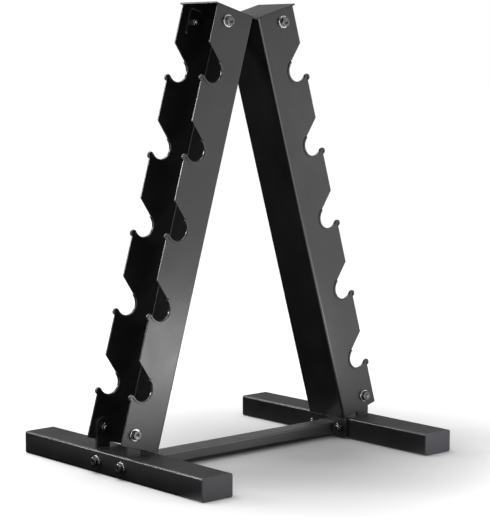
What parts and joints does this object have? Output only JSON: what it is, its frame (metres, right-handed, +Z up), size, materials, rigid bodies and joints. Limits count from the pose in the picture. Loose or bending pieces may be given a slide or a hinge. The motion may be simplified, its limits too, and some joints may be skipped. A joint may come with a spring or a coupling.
{
  "type": "dumbbell rack",
  "caption": "A-frame dumbbell rack: two leaning notched channels with plastic-trimmed handle seats, bolted to two floor tubes and a crossbar.",
  "frame": {"origin": "on the floor, midway between the two feet and midway along them", "axes": "+Z up; +X from the left foot to the right foot; +Y from the front of the feet to the rear"},
  "size_m": [0.6076, 0.5, 0.809],
  "materials": {
    "frame_coat": "satin black powder coat",
    "end_cap": "matt moulded plastic",
    "trim_plastic": "smooth black plastic edge trim",
    "bolt_steel": "dark zinc-plated steel"
  },
  "bodies": {
    "root": {"left_foot": "frame_coat", "left_end_plate": "frame_coat", "left_upright": "frame_coat", "left_front_foot_cap": "end_cap", "left_front_tab": "frame_coat", "left_front_ear": "frame_coat", "left_front_notch_trim_1": "trim_plastic", "left_front_notch_trim_2": "trim_plastic", "left_front_notch_trim_3": "trim_plastic", "left_front_notch_trim_4": "trim_plastic", "left_front_notch_trim_5": "trim_plastic", "left_rear_foot_cap": "end_cap", "left_rear_tab": "frame_coat", "left_rear_ear": "frame_coat", "left_rear_notch_trim_1": "trim_plastic", "left_rear_notch_trim_2": "trim_plastic", "left_rear_notch_trim_3": "trim_plastic", "left_rear_notch_trim_4": "trim_plastic", "left_rear_notch_trim_5": "trim_plastic", "right_foot": "frame_coat", "right_end_plate": "frame_coat", "right_upright": "frame_coat", "right_front_foot_cap": "end_cap", "right_front_tab": "frame_coat", "right_front_ear": "frame_coat", "right_front_notch_trim_1": "trim_plastic", "right_front_notch_trim_2": "trim_plastic", "right_front_notch_trim_3": "trim_plastic", "right_front_notch_trim_4": "trim_plastic", "right_front_notch_trim_5": "trim_plastic", "right_rear_foot_cap": "end_cap", "right_rear_tab": "frame_coat", "right_rear_ear": "frame_coat", "right_rear_notch_trim_1": "trim_plastic", "right_rear_notch_trim_2": "trim_plastic", "right_rear_notch_trim_3": "trim_plastic", "right_rear_notch_trim_4": "trim_plastic", "right_rear_notch_trim_5": "trim_plastic", "crossbar": "frame_coat", "top_plate": "frame_coat", "top_bolts": "bolt_steel", "top_washers": "bolt_steel", "top_nuts": "bolt_steel", "low_bolts": "bolt_steel", "low_washers": "bolt_steel", "low_nuts": "bolt_steel", "crossbar_bolts": "bolt_steel", "crossbar_washers": "bolt_steel", "crossbar_nuts": "bolt_steel"}
  },
  "joints": []
}
